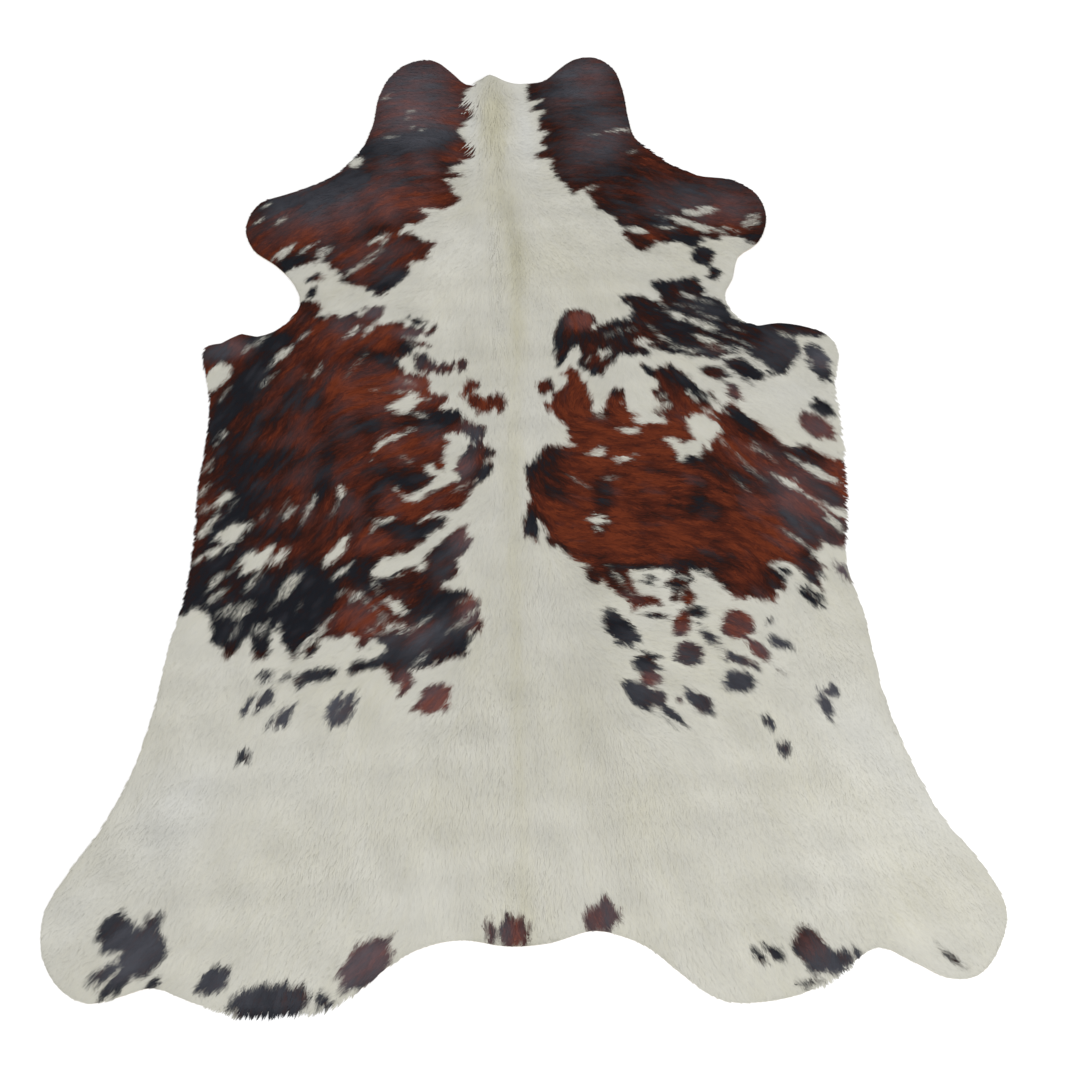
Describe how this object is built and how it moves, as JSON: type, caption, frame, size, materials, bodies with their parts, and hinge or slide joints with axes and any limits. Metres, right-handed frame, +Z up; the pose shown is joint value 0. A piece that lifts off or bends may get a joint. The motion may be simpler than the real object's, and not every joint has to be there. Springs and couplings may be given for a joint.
{
  "type": "cowhide rug",
  "caption": "Natural hair-on cowhide rug lying flat, cut round the hide's own outline, with a creamy white, rust brown and black coat.",
  "frame": {"origin": "middle of the rug's box, on the floor under it", "axes": "+X to the right with the hair side up and the neck away, +Y from the rump to the neck, +Z up out of the hair side"},
  "size_m": [1.627, 2.2028, 0.0167],
  "materials": {
    "coat": "matt short hair laid flat over tanned skin"
  },
  "bodies": {
    "root": {"hide": "coat"}
  },
  "joints": []
}
